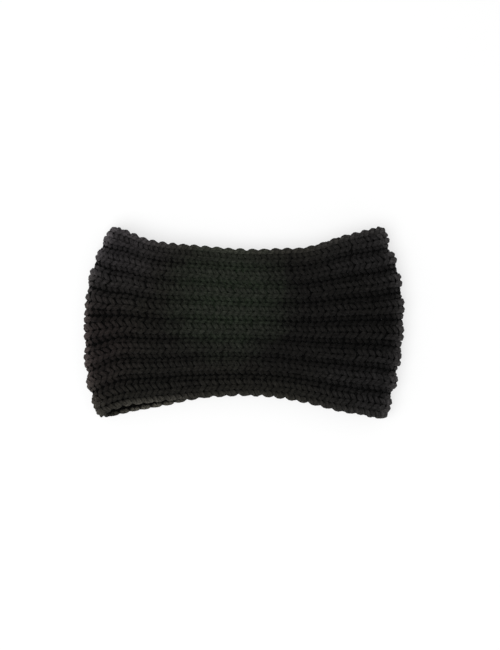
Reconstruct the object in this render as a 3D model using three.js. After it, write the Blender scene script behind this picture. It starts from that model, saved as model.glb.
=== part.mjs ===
// A chunky rib-knit headband, lying folded flat, in millimetres with +Z up.
//
// It is one knitted strip whose ends are joined, so it is a loop with an open
// middle for the head. Laid down, it folds at its left and right ends into an
// upper and a lower layer. Eight raised ribs run round the loop, and between
// each two an inner rib stands out on the inside. The ribs draw together at the
// waist in the middle and fan out towards the folds. At the near left the upper
// layer is lifted and set back, so that the lower one shows under it.
//
// X runs along the folded band, Y across its ribs from the near edge to the far
// one, and the lower layer rests on Z = 0. The origin is under the middle.

import * as THREE from "three";

// The knit and the way it lies.
const WALL_THICKNESS = 8; // crest of an outer rib to crest of an inner one
const RIB_DEPTH_AT_WAIST = 2.9; // crest to furrow, where the ribs are drawn together
const RIB_DEPTH_AT_FOLDS = 3.7; // and where they fan out
const FOLD_RADIUS = 8; // of the middle of the wall, round each fold
const WAIST_SAG = 3; // dip of the upper layer between the folds
const RIBS_PRESSED_BY = 0.6; // the lower ribs are squashed flat by this on the ground
const RIB_SPLAY = { left: 4, right: 2 }; // ribs bend outwards by up to this at a fold
const SPLAY_STARTS_AT = 92; // distance from the middle where that bend begins

// The near left lip of the upper layer, lifted off the lower one.
const LIP = { x: -76, halfLength: 42, shareOfWidth: 0.45, lift: 3 };

// The outline from above. far and near are the upper layer's edges, and under is
// the lower layer's near edge, each as a distance from the middle line at x.
const OUTLINE = [
  { x: -100, far: 69.0, near: 64.2, under: 68.2 },
  { x: -86, far: 65.9, near: 59.4, under: 64.9 },
  { x: -72, far: 60.3, near: 57.3, under: 62.2 },
  { x: -57, far: 57.1, near: 55.8, under: 59.6 },
  { x: -43, far: 55.7, near: 54.2, under: 56.6 },
  { x: -28, far: 54.5, near: 53.4, under: 53.8 },
  { x: 0, far: 52.2, near: 52.6, under: 52.2 },
  { x: 30, far: 52.7, near: 54.6, under: 53.8 },
  { x: 44, far: 53.9, near: 57.2, under: 56.4 },
  { x: 59, far: 57.9, near: 60.8, under: 60.0 },
  { x: 73, far: 62.4, near: 64.4, under: 63.8 },
  { x: 88, far: 66.3, near: 67.6, under: 67.2 },
  { x: 100, far: 68.4, near: 69.2, under: 69.0 },
];

// The furrows between the ribs, from the near edge to the far one. across is the
// share of the band's width, and left and right are how far the folds reach there.
const FURROWS = [
  { across: 0, left: 107.0, right: 103.0 },
  { across: 0.142, left: 112.4, right: 108.9 },
  { across: 0.263, left: 115.0, right: 112.6 },
  { across: 0.385, left: 116.4, right: 115.1 },
  { across: 0.514, left: 116.6, right: 116.4 },
  { across: 0.639, left: 114.6, right: 115.9 },
  { across: 0.763, left: 110.2, right: 112.8 },
  { across: 0.88, left: 104.9, right: 106.6 },
  { across: 1, left: 96.0, right: 100.5 },
];

// How finely the shape is cut into facets.
const STEPS_ALONG_LAYER = 20;
const STEPS_ROUND_FOLD = 10;
const STEPS_PER_OUTER_RIB = 6;
const STEPS_PER_INNER_RIB = 4;
const STEPS_ROUND_SELVEDGE = 3; // from a selvedge's tip to the crest beside it

const YARN_BLACK = 0x1d1c1b;

// The four stretches of the loop, in the order that a station number counts them.
const UPPER = 0;
const RIGHT_FOLD = 1;
const LOWER = 2;
const STRETCHES = 4;

const { clamp, lerp, smoothstep } = THREE.MathUtils;

// A smooth curve through one column of a table, held level past its ends.
function columnCurve(table, from, to) {
  const curve = new THREE.CubicInterpolant(
    table.map((row) => row[from]),
    table.map((row) => row[to]),
    1,
  );
  const first = table[0][from];
  const last = table[table.length - 1][from];
  return (value) => curve.evaluate(clamp(value, first, last))[0];
}

const farEdge = columnCurve(OUTLINE, "x", "far");
const nearEdge = columnCurve(OUTLINE, "x", "near");
const nearEdgeUnder = columnCurve(OUTLINE, "x", "under");
const leftReach = columnCurve(FURROWS, "across", "left");
const rightReach = columnCurve(FURROWS, "across", "right");

// The sag ends where the shortest stretch of the upper layer meets its fold.
const sagHalfLength = leftReach(1) - WALL_THICKNESS / 2 - FOLD_RADIUS;

// Where the middle of the wall is in the XZ plane, and how far up the fold from
// the lower layer (0) to the upper one (1) it is.
function loopPlace(station, across) {
  const stretch = Math.floor(station) % STRETCHES;
  const along = station - Math.floor(station);
  const left = WALL_THICKNESS / 2 + FOLD_RADIUS - leftReach(across);
  const right = rightReach(across) - WALL_THICKNESS / 2 - FOLD_RADIUS;
  if (stretch === UPPER) return { x: lerp(left, right, along), upness: 1 };
  if (stretch === LOWER) return { x: lerp(right, left, along), upness: 0 };
  const angle = Math.PI * along; // from the layer that the fold leaves
  const bulge = FOLD_RADIUS * Math.sin(angle);
  return stretch === RIGHT_FOLD
    ? { x: right + bulge, upness: (1 + Math.cos(angle)) / 2 }
    : { x: left - bulge, upness: (1 - Math.cos(angle)) / 2 };
}

function middleOfWall(station, across) {
  const { x, upness } = loopPlace(station, across);

  const near = lerp(nearEdgeUnder(x), nearEdge(x), upness);
  const far = farEdge(x);
  const side = x < 0 ? "left" : "right";
  const splay =
    RIB_SPLAY[side] *
    smoothstep(Math.abs(x), SPLAY_STARTS_AT, leftReach(0.5)) *
    Math.sin(Math.PI * (2 * across - 1));
  const y = lerp(-near, far, across) + splay;

  const sag = WAIST_SAG * Math.cos(clamp(x / sagHalfLength, -1, 1) * (Math.PI / 2)) ** 2;
  const fromLip = clamp((x - LIP.x) / LIP.halfLength, -1, 1);
  const lip =
    LIP.lift *
    Math.cos(fromLip * (Math.PI / 2)) ** 2 *
    (1 - smoothstep(across, 0, LIP.shareOfWidth));
  const lowerLayer = WALL_THICKNESS / 2 - RIBS_PRESSED_BY;
  const z = lowerLayer + upness * (2 * FOLD_RADIUS - sag + lip);
  return new THREE.Vector3(x, y, z);
}

// The direction out of the wall, away from the head.
function outOfWall(station, across) {
  const step = 1e-3;
  const a = clamp(across, step, 1 - step);
  const along = middleOfWall(station + step, a).sub(
    middleOfWall(station - step + STRETCHES, a),
  );
  const over = middleOfWall(station, a + step).sub(middleOfWall(station, a - step));
  return along.cross(over).normalize();
}

// The closed section of the wall at one station, as shares of the width and
// depths out of the middle of the wall.
function wallSection(ribDepth) {
  const crest = WALL_THICKNESS / 2;
  const furrow = crest - ribDepth;
  const centres = FURROWS.slice(1).map((row, i) => (row.across + FURROWS[i].across) / 2);
  const points = [];

  // A selvedge is a full round edge on the half rib beside it, from turn -1 on
  // the inner side, through its tip at 0, to turn 1 on the rib's crest.
  const selvedge = (tip, centre, turn) => {
    const angle = (turn * Math.PI) / 2;
    const middle = (crest - furrow) / 2;
    return {
      across: lerp(centre, tip, Math.cos(angle)),
      depth: middle + ((crest + furrow) / 2) * Math.sin(angle),
    };
  };
  // One arched step of a rib that spans two places across the band.
  const arch = (from, to, share, side) => {
    const angle = Math.PI * share;
    return {
      across: lerp(from, to, (1 - Math.cos(angle)) / 2),
      depth: side * (furrow + ribDepth * Math.sin(angle)),
    };
  };

  // Outside, from the near selvedge's tip to the far one's.
  for (let i = 0; i < STEPS_ROUND_SELVEDGE; i++)
    points.push(selvedge(0, centres[0], i / STEPS_ROUND_SELVEDGE));
  for (let rib = 0; rib < centres.length; rib++) {
    const first = rib === 0 ? STEPS_PER_OUTER_RIB / 2 : 0;
    const last = rib === centres.length - 1 ? STEPS_PER_OUTER_RIB / 2 : STEPS_PER_OUTER_RIB;
    for (let i = first; i < last; i++)
      points.push(
        arch(FURROWS[rib].across, FURROWS[rib + 1].across, i / STEPS_PER_OUTER_RIB, 1),
      );
  }
  const lastCentre = centres[centres.length - 1];
  for (let i = STEPS_ROUND_SELVEDGE; i > -STEPS_ROUND_SELVEDGE; i--)
    points.push(selvedge(1, lastCentre, i / STEPS_ROUND_SELVEDGE));

  // Inside, back from the far selvedge to the near one.
  for (let rib = centres.length - 1; rib > 0; rib--)
    for (let i = 0; i < STEPS_PER_INNER_RIB; i++)
      points.push(arch(centres[rib], centres[rib - 1], i / STEPS_PER_INNER_RIB, -1));
  for (let i = -STEPS_ROUND_SELVEDGE; i < 0; i++)
    points.push(selvedge(0, centres[0], i / STEPS_ROUND_SELVEDGE));
  return points;
}

function knitBandGeometry() {
  const stations = [];
  for (let stretch = 0; stretch < STRETCHES; stretch++) {
    const steps = stretch % 2 ? STEPS_ROUND_FOLD : STEPS_ALONG_LAYER;
    for (let i = 0; i < steps; i++) stations.push(stretch + i / steps);
  }

  const positions = [];
  for (const station of stations) {
    const fromMiddle = Math.abs(middleOfWall(station, 0.5).x) / leftReach(0.5);
    const depth = lerp(RIB_DEPTH_AT_WAIST, RIB_DEPTH_AT_FOLDS, fromMiddle ** 2);
    for (const point of wallSection(depth)) {
      const place = middleOfWall(station, point.across).addScaledVector(
        outOfWall(station, point.across),
        point.depth,
      );
      place.z = Math.max(place.z, 0); // the ribs that touch the ground are pressed flat
      positions.push(...place.toArray());
    }
  }

  const ring = positions.length / 3 / stations.length;
  const indices = [];
  for (let s = 0; s < stations.length; s++) {
    const next = (s + 1) % stations.length;
    for (let i = 0; i < ring; i++) {
      const j = (i + 1) % ring;
      const corners = [s * ring + i, s * ring + j, next * ring + j, next * ring + i];
      indices.push(corners[0], corners[2], corners[1]);
      indices.push(corners[0], corners[3], corners[2]);
    }
  }

  const geometry = new THREE.BufferGeometry();
  geometry.setAttribute("position", new THREE.Float32BufferAttribute(positions, 3));
  geometry.setIndex(indices);
  geometry.computeBoundingBox();
  const middle = geometry.boundingBox.getCenter(new THREE.Vector3());
  geometry.translate(-middle.x, -middle.y, 0);
  geometry.computeVertexNormals();
  return geometry;
}

const knitBand = new THREE.Mesh(
  knitBandGeometry(),
  new THREE.MeshStandardMaterial({ color: YARN_BLACK, roughness: 0.95, metalness: 0 }),
);
knitBand.name = "knit_band";

const headband = new THREE.Group();
headband.name = "headband";
headband.add(knitBand);

export default headband;
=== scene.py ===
"""A black headband in chunky rib knit, lying folded flat, seen from above.

Every stitch is there: each row of the knitting is one length of yarn that runs
across the band through its ribs, and the rows follow each other round the loop.
The band's form has the sizes and tables of its solid. Only the splay is larger,
because the looser stitches hide some of it. Sizes are in millimetres, apart from
those that go straight to Blender, which are in metres.
"""

import bpy
import numpy as np
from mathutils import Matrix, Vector


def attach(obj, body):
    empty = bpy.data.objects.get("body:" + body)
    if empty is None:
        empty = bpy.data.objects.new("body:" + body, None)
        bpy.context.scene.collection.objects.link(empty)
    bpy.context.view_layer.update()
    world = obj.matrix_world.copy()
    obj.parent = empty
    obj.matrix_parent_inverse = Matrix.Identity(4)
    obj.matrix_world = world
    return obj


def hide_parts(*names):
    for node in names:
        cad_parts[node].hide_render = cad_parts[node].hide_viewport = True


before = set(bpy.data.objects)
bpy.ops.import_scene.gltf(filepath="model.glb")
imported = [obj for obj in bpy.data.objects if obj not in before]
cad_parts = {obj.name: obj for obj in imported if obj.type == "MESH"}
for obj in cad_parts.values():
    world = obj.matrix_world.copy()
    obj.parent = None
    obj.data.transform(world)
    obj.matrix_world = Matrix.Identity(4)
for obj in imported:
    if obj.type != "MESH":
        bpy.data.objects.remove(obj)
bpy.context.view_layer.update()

MM = 0.001
FLOOR_GAP = 0.05  # between the knit and the floor

# The form of the band.
WALL = 8.0  # crest of an outer rib to crest of an inner one
FOLD_RADIUS = 8.0  # of the middle of the wall, round each fold
WAIST_SAG = 3.0  # dip of the upper layer between the folds
PRESSED = 0.6  # the lower ribs are squashed flat by this on the ground
SPLAY = {"left": 7.5, "right": 3.5}  # ribs bend outwards by up to this at a fold
SPLAY_START = 92.0  # distance from the middle where that bend begins
# The near left lip of the upper layer, lifted off the lower one.
LIP_X, LIP_HALF_LENGTH, LIP_SHARE, LIP_LIFT = -76.0, 42.0, 0.45, 3.0

# The outline from above. far and near are the upper layer's edges, and under is the
# lower layer's near edge, each as a distance from the middle line at x.
OUTLINE = {
    "x": [-100, -86, -72, -57, -43, -28, 0, 30, 44, 59, 73, 88, 100],
    "far": [69.0, 65.9, 60.3, 57.1, 55.7, 54.5, 52.2, 52.7, 53.9, 57.9, 62.4, 66.3, 68.4],
    "near": [64.2, 59.4, 57.3, 55.8, 54.2, 53.4, 52.6, 54.6, 57.2, 60.8, 64.4, 67.6, 69.2],
    "under": [68.2, 64.9, 62.2, 59.6, 56.6, 53.8, 52.2, 53.8, 56.4, 60.0, 63.8, 67.2, 69.0],
}
# The furrows between the ribs, from the near edge to the far one. across is the share
# of the band's width, and left and right are how far the folds reach there.
FURROWS = {
    "across": [0, 0.142, 0.263, 0.385, 0.514, 0.639, 0.763, 0.88, 1],
    "left": [107.0, 112.4, 115.0, 116.4, 116.6, 114.6, 110.2, 104.9, 96.0],
    "right": [103.0, 108.9, 112.6, 115.1, 116.4, 115.9, 112.8, 106.6, 100.5],
}

# The knitting. Rows are counted round the loop and stitches across it.
ROWS_ON_LAYER, ROWS_ROUND_FOLD = 45, 7
ROWS = 2 * (ROWS_ON_LAYER + ROWS_ROUND_FOLD)
BUNCHING = 0.5  # share of an edge's shortness by which its rows bunch up near the folds
RIBS = 8
STITCHES_PER_RIB = 2
GROUPS = 2 * RIBS - 1  # outer ribs and the inner ones between them
STITCHES = GROUPS * STITCHES_PER_RIB
# A rib is an arch at the waist and has a flatter top beside the folds. This is how
# steep the arch is at its edges, in degrees. The higher a power, here and below, the
# later and the more sharply a thing turns down.
STEEP = {"waist": 37, "fold": 45, "bend": 29}
FLAT_TOP_POWER = 4
SELVEDGE_DROP = 0.5  # share of a rib's drop on the outer side of the outermost ribs
# From a furrow's middle to the nearest stitch. Beside the folds the stitches of two
# ribs cross it, so that no floor shows between them.
RIB_INSET = {"waist": 0.15, "fold": -0.45}
# From the outline to the outermost stitch, at distances from the middle.
EDGE_INSET = {
    "x": [-102, -92, -75, -45, -15, 5, 25, 55, 72, 86, 98],
    "near": [-0.5, -0.5, -0.5, -0.5, 0.1, 0.5, 0.2, -0.2, 0.0, 1.2, 0.4],
    "under": [-2.0, -1.3, -1.2, -0.6, 0.0, 0.5, 0.1, -0.5, -0.4, 1.0, 0.2],
    "far": [-0.6, 0.6, 1.0, 1.0, 1.0, 0.8, 0.8, 1.6, 1.2, 1.5, 1.0],
}
# How far each furrow gapes beside the two folds, from the near edge to the far one.
GAPE = {
    "left": [0, 0.2, 0.6, 1.6, 1.6, 2.0, 1.6, 0.8, 0],
    "right": [0, 0.8, 1.4, 0.6, 0.8, 1.4, 1.4, 0.9, 0],
}
GAPE_ON_FOLD = -0.3  # times that on the outermost bend, where the furrows press shut
# On that bend, how much deeper than its slope each furrow is pulled in, and how far
# each rib bulges out, from the near edge to the far one.
PULLED_IN = {
    "left": [0, 4.2, 2.2, 0.5, -2.0, 1.0, 4.8, 3.4, 0],
    "right": [0, 4.6, 4.0, 0.4, 0.6, 4.2, 5.2, 4.8, 0],
}
BULGING_OUT = {
    "left": [0.6, 0.7, 0.6, 0.0, -0.3, 0.0, -0.3, 0.6],
    "right": [1.2, 0.9, 0.5, 0.4, 0.6, 0.2, 1.0, 1.8],
}
PULL_POWER = 2.6  # of the way from a rib's crest into a furrow that is pulled in
YARN_WIDE, YARN_THICK = 3.35, 2.75
STITCH_LAYER = 1.0  # a stitch's middle stands this far out of the wall's at a crest
LEG_OUT = 1.8  # the legs of a stitch in front of its middle, and its ends behind
LEG_LEAN = 0.27  # in stitch widths: how far a loop opens towards its head
LOOP_REACH = 0.78  # in rows, from a stitch's middle to its head
CHANGE_SIDE = 0.3  # in stitch widths: over which a row passes to the next outer or inner rib
# Where the yarn turns back, it bulges by this many stitch widths, and comes this far
# in front of the ends of the stitches.
TURN_OUT = {"near": 0.0, "far": 0.04}
TURN_RISE = 1.5
STEPS_PER_STITCH = 15
STEPS_PER_TURN = 5
YARN_SIDES = 8
SWELL_EVERY, SWELL = 5.0, 0.05  # so often the spun yarn turns thick or thin, by this share

# For the painted shade and sheen in the colour. Beside the folds the furrows are shaded as
# if deeper than they are by up to this, as painted shade where little light gets in. The
# rims are painted lighter, as a painted sheen where the fuzz catches light: the bends of
# the folds, the near edge with its lip, and the far edge.
FURROW_SHADE = {"left": 2.2, "right": 4.5}
FURROW_SHADE_POWER = 4
RIM_ON_BEND, RIM_NEAR, RIM_LIP, RIM_FAR = 1.25, 0.6, 1.5, 0.7
RIM_BEND_POWER = 2.5  # keeps it to the outermost part of a bend
RIM_WIDTH_NEAR, RIM_WIDTH_FAR = 0.4, 0.5  # in stitch widths
RIM_LIP_X, RIM_LIP_FULL, RIM_LIP_END = -66.0, 10.0, 36.0  # middle, and distances from it
DEPTH_ON_RIM = 0.3  # share of its depth, and so of its painted shade, that a gap in a rim seems to have


def smooth_curve(table, start, end):
    """A smooth curve through two columns of a table, level past its ends."""
    x, y = np.array(table[start], float), np.array(table[end], float)
    slope = np.gradient(y, x)

    def at(value):
        value = np.clip(value, x[0], x[-1])
        i = np.clip(np.searchsorted(x, value) - 1, 0, len(x) - 2)
        width = x[i + 1] - x[i]
        t = (value - x[i]) / width
        return (
            y[i] * (2 * t**3 - 3 * t**2 + 1)
            + y[i + 1] * (3 * t**2 - 2 * t**3)
            + width * (slope[i] * (t**3 - 2 * t**2 + t) + slope[i + 1] * (t**3 - t**2))
        )

    return at


def smoothstep(value, low, high):
    t = np.clip((value - low) / (high - low), 0, 1)
    return t * t * (3 - 2 * t)


def mix(a, b, share):
    return a + (b - a) * share


def on_side(pair, x):
    """The value for the left or right, whichever side x is on."""
    return np.where(x < 0, pair["left"], pair["right"])


far_edge = smooth_curve(OUTLINE, "x", "far")
near_edge = smooth_curve(OUTLINE, "x", "near")
near_edge_under = smooth_curve(OUTLINE, "x", "under")
left_reach = smooth_curve(FURROWS, "across", "left")
right_reach = smooth_curve(FURROWS, "across", "right")
longest_reach = left_reach(0.5)
sag_half_length = left_reach(1.0) - WALL / 2 - FOLD_RADIUS


def middle_of_wall(row, across):
    """The middle of the wall at a row round the loop and a share across the band."""
    row = np.mod(row, ROWS)
    across = np.clip(across, 0, 1)
    left = WALL / 2 + FOLD_RADIUS - left_reach(across)
    right = right_reach(across) - WALL / 2 - FOLD_RADIUS
    layer_end = ROWS_ON_LAYER
    fold_end = layer_end + ROWS_ROUND_FOLD
    lower_end = fold_end + ROWS_ON_LAYER

    half = (right - left) / 2
    longest = longest_reach - WALL / 2 - FOLD_RADIUS
    bunching = BUNCHING * (longest / half - 1)

    def along_layer(share):
        u = 2 * share - 1
        return (left + right) / 2 + half * ((1 + bunching) * u - bunching * u**3)

    angle = np.pi * np.where(
        row < lower_end, row - layer_end, row - lower_end
    ) / ROWS_ROUND_FOLD
    bulge = FOLD_RADIUS * np.sin(angle)
    turn = np.cos(angle)
    stretch = [row < layer_end, row < fold_end, row < lower_end]
    x = np.select(
        stretch,
        [
            along_layer(row / ROWS_ON_LAYER),
            right + bulge,
            along_layer(1 - (row - fold_end) / ROWS_ON_LAYER),
        ],
        left - bulge,
    )
    upness = np.select(stretch, [1.0, (1 + turn) / 2, 0.0], (1 - turn) / 2)

    near = mix(near_edge_under(x), near_edge(x), upness)
    splay = (
        on_side(SPLAY, x)
        * smoothstep(np.abs(x), SPLAY_START, longest_reach)
        * np.sin(np.pi * (2 * across - 1))
    )
    y = mix(-near, far_edge(x), across) + splay

    sag = WAIST_SAG * np.cos(np.clip(x / sag_half_length, -1, 1) * np.pi / 2) ** 2
    lip = (
        LIP_LIFT
        * np.cos(np.clip((x - LIP_X) / LIP_HALF_LENGTH, -1, 1) * np.pi / 2) ** 2
        * (1 - smoothstep(across, 0, LIP_SHARE))
    )
    z = WALL / 2 - PRESSED + upness * (2 * FOLD_RADIUS - sag + lip)
    return np.stack([x, y, z], -1)


def unit(v):
    return v / np.maximum(np.linalg.norm(v, axis=-1, keepdims=True), 1e-12)


def out_of_wall(row, across):
    """The direction out of the wall, away from the head."""
    step = 1e-3
    inside = np.clip(across, step, 1 - step)
    along = middle_of_wall(row + step, inside) - middle_of_wall(row - step, inside)
    over = middle_of_wall(row, inside + step) - middle_of_wall(row, inside - step)
    return unit(np.cross(along, over))


FURROW_AT = np.array(FURROWS["across"], float)
CREST_AT = (FURROW_AT[1:] + FURROW_AT[:-1]) / 2


def at_fold(table, x, number):
    """A table's value for a furrow or rib, at the fold on the side where x is."""
    return np.where(x < 0, np.array(table["left"])[number], np.array(table["right"])[number])


INSET_NEAR, INSET_UNDER, INSET_FAR = (
    smooth_curve(EDGE_INSET, "x", edge) for edge in ("near", "under", "far")
)


def stitch_layer(row, stitch, group):
    """Where the stitches of one rib lie.

    That is the share across the band, the drop from the rib's crest, and the drop that
    they are shaded for. Even groups are outer ribs, and odd ones the inner ribs behind
    their furrows.
    """
    outer = group % 2 == 0
    rib = group // 2
    v = stitch - STITCHES_PER_RIB * group - 1  # -1 to 1 over the rib
    low = np.where(outer, FURROW_AT[rib], CREST_AT[rib])
    high = np.where(outer, FURROW_AT[rib + 1], CREST_AT[np.minimum(rib + 1, RIBS - 1)])
    room = np.linalg.norm(middle_of_wall(row, high) - middle_of_wall(row, low), axis=-1)
    x, _, z = np.moveaxis(middle_of_wall(row, (low + high) / 2), -1, 0)
    spread = np.clip(np.abs(x) / longest_reach, 0, 1) ** 2
    near_inset = np.where(z < WALL, INSET_UNDER(x), INSET_NEAR(x))
    bend = np.linalg.norm(out_of_wall(row, (low + high) / 2)[..., :2], axis=-1) ** 2
    opened = spread**2 * mix(1, GAPE_ON_FOLD, bend)

    def inset(furrow, edge, edge_inset):
        gape = at_fold(GAPE, x, furrow) * opened
        closed = mix(RIB_INSET["waist"], RIB_INSET["fold"], spread)
        return np.where(outer & (furrow == edge), edge_inset, closed + gape / 2) / room

    start = low + inset(rib, 0, near_inset) * (high - low)
    end = high - inset(rib + 1, RIBS, INSET_FAR(x)) * (high - low)
    half = (end - start) / 2
    steep = np.radians(mix(mix(STEEP["waist"], STEEP["fold"], spread), STEEP["bend"], bend))
    across = (start + end) / 2 + half * np.sin(v * steep) / np.sin(steep)
    radius = half / (high - low) * room / np.sin(steep)
    arched = radius * (1 - np.cos(v * steep))
    flat_topped = radius * (1 - np.cos(steep)) * v**FLAT_TOP_POWER
    drop = mix(arched, flat_topped, spread)
    selvedge = ((group == 0) & (v < 0)) | ((group == GROUPS - 1) & (v > 0))
    drop = drop * np.where(selvedge, SELVEDGE_DROP, 1)
    pulled = at_fold(PULLED_IN, x, np.where(v < 0, rib, rib + 1)) * np.abs(v) ** PULL_POWER
    drop = drop + outer * bend * (pulled - at_fold(BULGING_OUT, x, rib))
    shaded = on_side(FURROW_SHADE, x) * spread * v**FURROW_SHADE_POWER
    hollow = np.where(selvedge, 0, drop + shaded)
    return across, drop, hollow


def yarn_place(row, stitch, out, group):
    """Columns: place (3), way out of the wall (3), depth below the crests, side, rim.

    The side is 1 on an outer rib and -1 on an inner one. The rim is about 1 on the edges
    of the strip and on the outermost bend of a fold, and falls to 0 away from them. The
    depth sets the painted shade in the colour, and the rim its painted sheen.
    """
    across, drop, hollow = stitch_layer(row, stitch, group)
    normal = out_of_wall(row, across)
    face = np.where(group % 2 == 0, 1.0, -1.0)
    height = face * (STITCH_LAYER - drop + out)
    place = middle_of_wall(row, across) + normal * height[..., None]
    # This depth sets the painted shade in the colour. Beside the folds the furrows get more of
    # it than their shape has.
    depth = LEG_OUT - out + hollow
    bend = np.where(face > 0, np.linalg.norm(normal[..., :2], axis=-1) ** RIM_BEND_POWER, 0)
    near = 1 - smoothstep(stitch, 0, RIM_WIDTH_NEAR)
    far = 1 - smoothstep(STITCHES - stitch, 0, RIM_WIDTH_FAR)
    lip = 1 - smoothstep(np.abs(place[..., 0] - RIM_LIP_X), RIM_LIP_FULL, RIM_LIP_END)
    edges = np.maximum(near * mix(RIM_NEAR, RIM_LIP, lip), RIM_FAR * far)
    rim = np.maximum(RIM_ON_BEND * bend, edges)
    return np.concatenate([place, normal, np.stack([depth, face, rim], -1)], -1)


def through_ribs(row, stitch, out):
    """yarn_place for stitches anywhere across, passing between outer and inner ribs."""
    change = np.clip(np.round(stitch / STITCHES_PER_RIB), 1, GROUPS - 1).astype(int)
    share = smoothstep(stitch - STITCHES_PER_RIB * change, -CHANGE_SIDE / 2, CHANGE_SIDE / 2)
    before = yarn_place(row, stitch, out, change - 1)
    after = yarn_place(row, stitch, out, change)
    return mix(before, after, share[..., None])


# No two stitches are alike. These are the usual differences in how far a stitch slips
# along its rib, in rows, how far it stands in front of its neighbours, and how open its
# loop is.
SLIPS_BY, STANDS_BY, OPENS_BY = 0.065, 0.15, 0.14
rng = np.random.default_rng(11)
SLIP = rng.normal(0, SLIPS_BY, (ROWS, STITCHES))
STAND = rng.normal(0, STANDS_BY, (ROWS, STITCHES))
OPENING = rng.normal(1, OPENS_BY, (ROWS, STITCHES))
# The rows wander in long waves: times round the loop, waves per rib, start, size in rows.
WANDER = [(1, 0.11, 0.4, 0.25), (2, -0.07, 2.1, 0.2), (3, 0.16, 4.0, 0.14), (5, -0.2, 1.2, 0.1)]


def wander(row, stitch):
    def wave(times, across, start, size):
        phase = times * row / ROWS + across * stitch / STITCHES_PER_RIB
        return size * np.sin(2 * np.pi * phase + start)

    return sum(wave(*numbers) for numbers in WANDER)


def uneven(values, stitch):
    """One row's values for its stitches, blended between them and nil at the edges."""
    knots = np.concatenate([[0], np.arange(STITCHES) + 0.5, [STITCHES]])
    return np.interp(stitch, knots, np.concatenate([[0], values, [0]]))


def yarn_path(first, last):
    """The one yarn that knits some rows, back and forth: row, stitch and how far out."""
    t = np.linspace(-np.pi, np.pi, STEPS_PER_STITCH, endpoint=False)
    column = np.repeat(np.arange(STITCHES), STEPS_PER_STITCH)
    t = np.tile(t, STITCHES)
    turn = np.linspace(0, 1, STEPS_PER_TURN + 2)[1:-1]
    bulge = np.sin(np.pi * turn)
    parts = []
    for row in range(first, last):
        lean = LEG_LEAN * OPENING[row % ROWS][column]
        stitch = column + 0.5 + t / (2 * np.pi) + lean * np.sin(2 * t)
        part = np.stack(
            [
                row + LOOP_REACH * np.cos(t) + uneven(SLIP[row % ROWS], stitch),
                stitch,
                -LEG_OUT * np.cos(2 * t) + uneven(STAND[row % ROWS], stitch),
            ],
            -1,
        )
        there = row % 2 == 0
        edge = STITCHES + TURN_OUT["far"] * bulge if there else -TURN_OUT["near"] * bulge
        parts.append(part if there else part[::-1])
        parts.append(
            np.stack([row - LOOP_REACH + turn, edge, TURN_RISE * bulge - LEG_OUT], -1)
        )
    return np.concatenate(parts)


def knitted_piece(name, first, last):
    """One length of yarn, as a closed tube that knits the rows from first up to last."""
    row, stitch, out = yarn_path(first, last).T
    columns = through_ribs(row + wander(row, stitch), stitch, out)
    points, ups = columns[:, :3], columns[:, 3:6]
    depth, face, rim = columns[:, 6:7], columns[:, 7:8], columns[:, 8:9]

    step = np.linalg.norm(np.diff(points, axis=0), axis=1)
    length = np.concatenate([[0], np.cumsum(step)])
    knots = np.arange(0, length[-1] + SWELL_EVERY, SWELL_EVERY)
    swell = np.interp(length, knots, rng.normal(1, SWELL, len(knots)))[:, None]

    tangent = unit(np.gradient(points, axis=0))
    side = unit(np.cross(tangent, ups))
    up = np.cross(side, tangent)
    turn = 2 * np.pi * np.arange(YARN_SIDES) / YARN_SIDES
    wide = np.cos(turn) * YARN_WIDE / 2 * swell
    thick = np.sin(turn) * YARN_THICK / 2 * swell
    rings = points[:, None] + side[:, None] * wide[..., None] + up[:, None] * thick[..., None]
    rings[..., 2] = np.maximum(rings[..., 2], FLOOR_GAP)
    # The rims keep only a share of their painted shade.
    depth = (depth + YARN_THICK / 2 - thick * face) * mix(1, DEPTH_ON_RIM, rim)
    rim = np.repeat(rim, YARN_SIDES)

    count = len(points)
    i, k = np.meshgrid(np.arange(count - 1), np.arange(YARN_SIDES), indexing="ij")
    j = (k + 1) % YARN_SIDES
    here, there = i * YARN_SIDES, (i + 1) * YARN_SIDES
    quads = np.stack([here + k, there + k, there + j, here + j], -1).reshape(-1, 4)
    cap = np.arange(YARN_SIDES)
    corners = np.concatenate([quads.ravel(), cap, (cap + (count - 1) * YARN_SIDES)[::-1]])
    faces = len(quads) + 2
    uv = np.zeros((len(corners), 2), np.float32)
    along = np.stack([length[i], length[i + 1], length[i + 1], length[i]], -1)
    uv[: quads.size, 0] = along.ravel()
    uv[: quads.size, 1] = np.stack([k, k, k + 1, k + 1], -1).ravel() / YARN_SIDES

    mesh = bpy.data.meshes.new(name)
    mesh.vertices.add(count * YARN_SIDES)
    mesh.vertices.foreach_set("co", (rings * MM).astype(np.float32).ravel())
    mesh.loops.add(len(corners))
    mesh.loops.foreach_set("vertex_index", corners.astype(np.int32))
    mesh.polygons.add(faces)
    starts = np.append(np.arange(len(quads)) * 4, [quads.size, quads.size + YARN_SIDES])
    mesh.polygons.foreach_set("loop_start", starts.astype(np.int32))
    mesh.update(calc_edges=True)
    mesh.uv_layers.new(name="Yarn").uv.foreach_set("vector", uv.ravel())
    for label, values in (("Depth", depth), ("Rim", rim)):
        attribute = mesh.attributes.new(label, "FLOAT", "POINT")
        attribute.data.foreach_set("value", values.astype(np.float32).ravel())
    mesh.validate()
    mesh.shade_smooth()
    piece = bpy.data.objects.new(name, mesh)
    bpy.context.scene.collection.objects.link(piece)
    return piece


# The loop is cut into quarters to keep each mesh small. The first starts at the left fold.
names = ["knit_upper_left", "knit_upper_right", "knit_lower_right", "knit_lower_left"]
quarter = ROWS // len(names)
pieces = [knitted_piece(name, i * quarter, (i + 1) * quarter) for i, name in enumerate(names)]


def linear(hex_colour):
    """A 0xRRGGBB colour as linear RGBA."""
    srgb = [(hex_colour >> shift & 255) / 255 for shift in (16, 8, 0)]
    return [c / 12.92 if c <= 0.04045 else ((c + 0.055) / 1.055) ** 2.4 for c in srgb] + [1]


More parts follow.
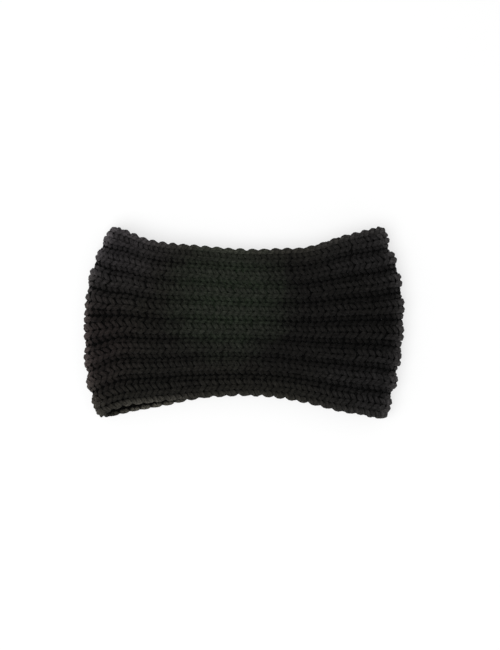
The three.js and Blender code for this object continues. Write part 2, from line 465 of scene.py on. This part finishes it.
def node(tree, kind, inputs=(), **settings):
    """Adds a node. inputs maps a socket's name or number to a value or to an output.

    A Mix node has its share at 0, its two numbers at 2 and 3, and its two colours at 6
    and 7, with the mixed colour at output 2.
    """
    made = tree.nodes.new("ShaderNode" + kind)
    for key, value in settings.items():
        setattr(made, key, value)
    for key, value in dict(inputs).items():
        if isinstance(value, bpy.types.NodeSocket):
            tree.links.new(value, made.inputs[key])
        else:
            made.inputs[key].default_value = value
    return made


def new_material(name):
    material = bpy.data.materials.new(name)
    material.use_nodes = True
    material.node_tree.nodes.clear()
    return material, material.node_tree


def black_wool():
    """Soft three-ply yarn of wool and acrylic, dyed black, as it comes off the needles.

    It is dry and near black with no gloss. Little light gets down between the strands, so
    the colour is darkened with depth there as painted shade, and the twist of the plies
    gives each of them fine slanting ridges.
    """
    shade_from, shade_to = 0.2, 4.2  # depths between which the painted shade deepens
    darkest = 0.1  # what is left of the colour there
    pool_lifts_shade = 0.4  # share of the painted shade that the greenish pool of painted light lifts
    blotch_size, blotch_shift = 0.010, 0.02  # of the dye, in metres
    rim_sheen_gain = 2.8  # painted sheen: a full rim is lighter by this many times its colour
    plies, twist_length = 3, 9.0
    fibre_scale, fibre_stretch = 4.0, 0.06  # per radius of yarn, and radii for each mm along it
    clump_size = 0.0022  # in metres
    noise_low, noise_high = 0.3, 0.7  # nearly all of a noise lies between these
    ply_height, fibre_height = 0.8 * MM, 0.7  # in metres, and as a share of that
    material, tree = new_material("black_chunky_wool_yarn")
    place = node(tree, "TexCoord").outputs["Object"]
    depth = node(tree, "Attribute", attribute_name="Depth").outputs["Fac"]
    shade = node(
        tree,
        "MapRange",
        {
            "Value": depth,
            "From Min": shade_from,
            "From Max": shade_to,
            "To Min": 1.0,
            "To Max": darkest,
        },
    )

    # Painted light and shade in the colour, in soft patches. It is darker on both sides of
    # the middle, most of all on the right, as painted shade. It is lighter at the folds and
    # paler grey in the far left corner, as painted light, and greenish in a soft pool of
    # painted light in the middle of the upper layer. Each patch has its middle, the distances
    # at which it is full and gone, and its colour, and covers those above it in the list. The
    # blotches shift a place by 10 mm on each axis on average, so a patch lies that much less
    # far along each of them than its middle says.
    rough = node(
        tree,
        "TexNoise",
        {"Vector": place, "Scale": 1 / blotch_size, "Detail": 3.0, "Roughness": 0.65},
    )
    shaken = node(
        tree,
        "VectorMath",
        {0: rough.outputs["Color"], 1: (blotch_shift,) * 3, 2: place},
        operation="MULTIPLY_ADD",
    )
    dye_and_painted_light = linear(0x1A1916)
    for middle, full, gone, patch in (
        ((0.136, 0.010, 0.033), 0.060, 0.110, 0x1B1A1A),
        ((0.040, 0.012, 0.033), 0.028, 0.058, 0x131211),
        ((0.084, 0.012, 0.033), 0.020, 0.050, 0x141312),
        ((-0.040, -0.015, 0.033), 0.010, 0.050, 0x171614),
        ((-0.107, -0.006, 0.033), 0.015, 0.055, 0x1E1A19),
        ((-0.094, 0.080, 0.033), 0.015, 0.075, 0x242223),
        ((-0.001, 0.027, 0.092), 0.0625, 0.0825, 0x20221D),
    ):
        away = node(tree, "VectorMath", {0: shaken.outputs[0], 1: middle}, operation="DISTANCE")
        share = node(
            tree,
            "MapRange",
            {"Value": away.outputs["Value"], "From Min": gone, "From Max": full},
            interpolation_type="SMOOTHSTEP",
        )
        mixed = node(
            tree, "Mix", {0: share.outputs[0], 6: dye_and_painted_light, 7: linear(patch)}, data_type="RGBA"
        )
        dye_and_painted_light = mixed.outputs[2]

    # In that greenish pool of painted light the painted shade in the furrows is lifted too, and
    # the gaps are painted greenest.
    deep = node(tree, "Math", {0: 1.0, 1: shade.outputs[0]}, operation="SUBTRACT")
    pool_green_in_gaps = node(tree, "Math", {0: share.outputs[0], 1: deep.outputs[0]}, operation="MULTIPLY")
    mixed = node(
        tree, "Mix", {0: pool_green_in_gaps.outputs[0], 6: dye_and_painted_light, 7: linear(0x212B1E)}, data_type="RGBA"
    )
    dye_and_painted_light = mixed.outputs[2]
    lifted_by_pool = node(tree, "Math", {0: share.outputs[0], 1: pool_lifts_shade}, operation="MULTIPLY")
    shade = node(tree, "Mix", {0: lifted_by_pool.outputs[0], 2: shade.outputs[0], 3: 1.0})

    # Painted sheen: the edges of the strip and the bends of the folds, where the fuzz catches
    # light, are painted lighter.
    rim = node(tree, "Attribute", attribute_name="Rim").outputs["Fac"]
    rim_sheen = node(tree, "Math", {0: rim, 1: rim_sheen_gain, 2: 1.0}, operation="MULTIPLY_ADD")

    # Three plies twist round each other once in 9 mm of yarn. The UV map has the yarn's
    # length in millimetres along U, and once round it along V.
    yarn = node(tree, "SeparateXYZ", {0: node(tree, "UVMap", uv_map="Yarn").outputs["UV"]})
    twist = node(
        tree,
        "Math",
        {0: yarn.outputs["X"], 1: 1 / twist_length, 2: yarn.outputs["Y"]},
        operation="MULTIPLY_ADD",
    ).outputs[0]
    half_waves = node(tree, "Math", {0: twist, 1: plies * np.pi}, operation="MULTIPLY")
    wave = node(tree, "Math", {0: half_waves.outputs[0]}, operation="SINE")
    ply = node(tree, "Math", {0: wave.outputs[0]}, operation="ABSOLUTE")

    # Fibres follow the twist, some dyed darker than others. Real ones, of 0.03 mm, are
    # too fine to show, so they are drawn 0.4 mm across and 4 mm long. Clumps of 2 mm,
    # where the fuzz lies thicker or thinner, break up the stitches.
    turn = node(tree, "Math", {0: twist, 1: 2 * np.pi}, operation="MULTIPLY")
    round_yarn = [
        node(tree, "Math", {0: turn.outputs[0]}, operation=way).outputs[0]
        for way in ("COSINE", "SINE")
    ]
    up_yarn = node(tree, "Math", {0: yarn.outputs["X"], 1: fibre_stretch}, operation="MULTIPLY")
    strand = node(
        tree, "CombineXYZ", {0: round_yarn[0], 1: round_yarn[1], 2: up_yarn.outputs[0]}
    )
    fibre = node(
        tree,
        "TexNoise",
        {"Vector": strand.outputs[0], "Scale": fibre_scale, "Detail": 3.0, "Roughness": 0.6},
    )
    clump = node(
        tree,
        "TexNoise",
        {"Vector": place, "Scale": 1 / clump_size, "Detail": 3.0, "Roughness": 0.6},
    )
    colour = dye_and_painted_light
    for amount, darker, lighter in (
        (fibre.outputs["Fac"], 0.7, 1.3),
        (clump.outputs["Fac"], 0.55, 1.5),
    ):
        heather = node(
            tree,
            "MapRange",
            {
                "Value": amount,
                "From Min": noise_low,
                "From Max": noise_high,
                "To Min": darker,
                "To Max": lighter,
            },
        )
        scaled = node(
            tree,
            "VectorMath",
            {0: colour, "Scale": heather.outputs[0]},
            operation="SCALE",
        )
        colour = scaled.outputs[0]
    # The painted sheen and the painted shade scale the colour.
    lit = node(
        tree, "Math", {0: rim_sheen.outputs[0], 1: shade.outputs[0]}, operation="MULTIPLY"
    )
    colour = node(tree, "VectorMath", {0: colour, "Scale": lit.outputs[0]}, operation="SCALE")

    height = node(
        tree,
        "Math",
        {0: fibre.outputs["Fac"], 1: fibre_height, 2: ply.outputs[0]},
        operation="MULTIPLY_ADD",
    )
    bump = node(
        tree,
        "Bump",
        {"Height": height.outputs[0], "Strength": 1.0, "Distance": ply_height},
    )
    shader = node(
        tree,
        "BsdfPrincipled",
        {
            "Base Color": colour.outputs[0],
            "Roughness": 0.95,
            "Specular IOR Level": 0.04,
            "Sheen Weight": 0.012,
            "Sheen Roughness": 0.4,
            "Normal": bump.outputs[0],
        },
    )
    node(tree, "OutputMaterial", {"Surface": shader.outputs["BSDF"]})
    return material


def white_paper():
    """Matt white paper, lit from below as on a light table.

    It glows, and has a grey of its own that comes out white with the glow, so only a
    faint, wide shadow of the band is left on it.
    """
    material, tree = new_material("matt_white_paper")
    shader = node(
        tree,
        "BsdfPrincipled",
        {
            "Base Color": linear(0x868686),
            "Roughness": 1.0,
            "Specular IOR Level": 0.0,
            "Emission Color": linear(0xFFFFFF),
            "Emission Strength": 0.65,
        },
    )
    node(tree, "OutputMaterial", {"Surface": shader.outputs["BSDF"]})
    return material


yarn = black_wool()
for piece in pieces:
    piece.data.materials.append(yarn)
    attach(piece, "root")
    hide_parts("knit_band")

bpy.ops.mesh.primitive_plane_add(size=6)
floor = bpy.context.object
floor.name = "floor"
floor.data.materials.append(white_paper())

# Soft white light comes from all round, and a little more from one large softbox.
world = bpy.data.worlds.new("studio")
world.use_nodes = True
background = world.node_tree.nodes["Background"]
background.inputs["Color"].default_value = linear(0xFFFFFF)
background.inputs["Strength"].default_value = 0.85
bpy.context.scene.world = world

softbox_light = bpy.data.lights.new("key_softbox", "AREA")
softbox_light.shape = "DISK"
softbox_light.size = 1.4
softbox_light.energy = 25
softbox = bpy.data.objects.new("key_softbox", softbox_light)
softbox.location = (-0.45, -0.35, 1.55)
softbox.rotation_mode = "QUATERNION"
softbox.rotation_quaternion = (-softbox.location).to_track_quat("-Z", "Y")
bpy.context.scene.collection.objects.link(softbox)

# The camera looks straight down. The picture is 500 by 650 pixels, and its longer side
# takes the sensor's width.
MM_PER_PIXEL = 0.7256  # at half the height of the band
PICTURE_HEIGHT = 650
OFF_CENTRE = (6.1, -3.1)  # pixels from the band's middle to the picture's
HALF_HEIGHT = 13
LENS, SENSOR = 85.0, 36.0
camera_data = bpy.data.cameras.new("camera")
camera_data.lens = LENS
camera_data.sensor_width = SENSOR
camera = bpy.data.objects.new("camera", camera_data)
distance = PICTURE_HEIGHT * MM_PER_PIXEL * LENS / SENSOR
right, far = (pixels * MM_PER_PIXEL for pixels in OFF_CENTRE)
camera.location = Vector((right, far, distance + HALF_HEIGHT)) * MM
bpy.context.scene.collection.objects.link(camera)
bpy.context.scene.camera = camera
bpy.context.scene.view_settings.view_transform = "Standard"
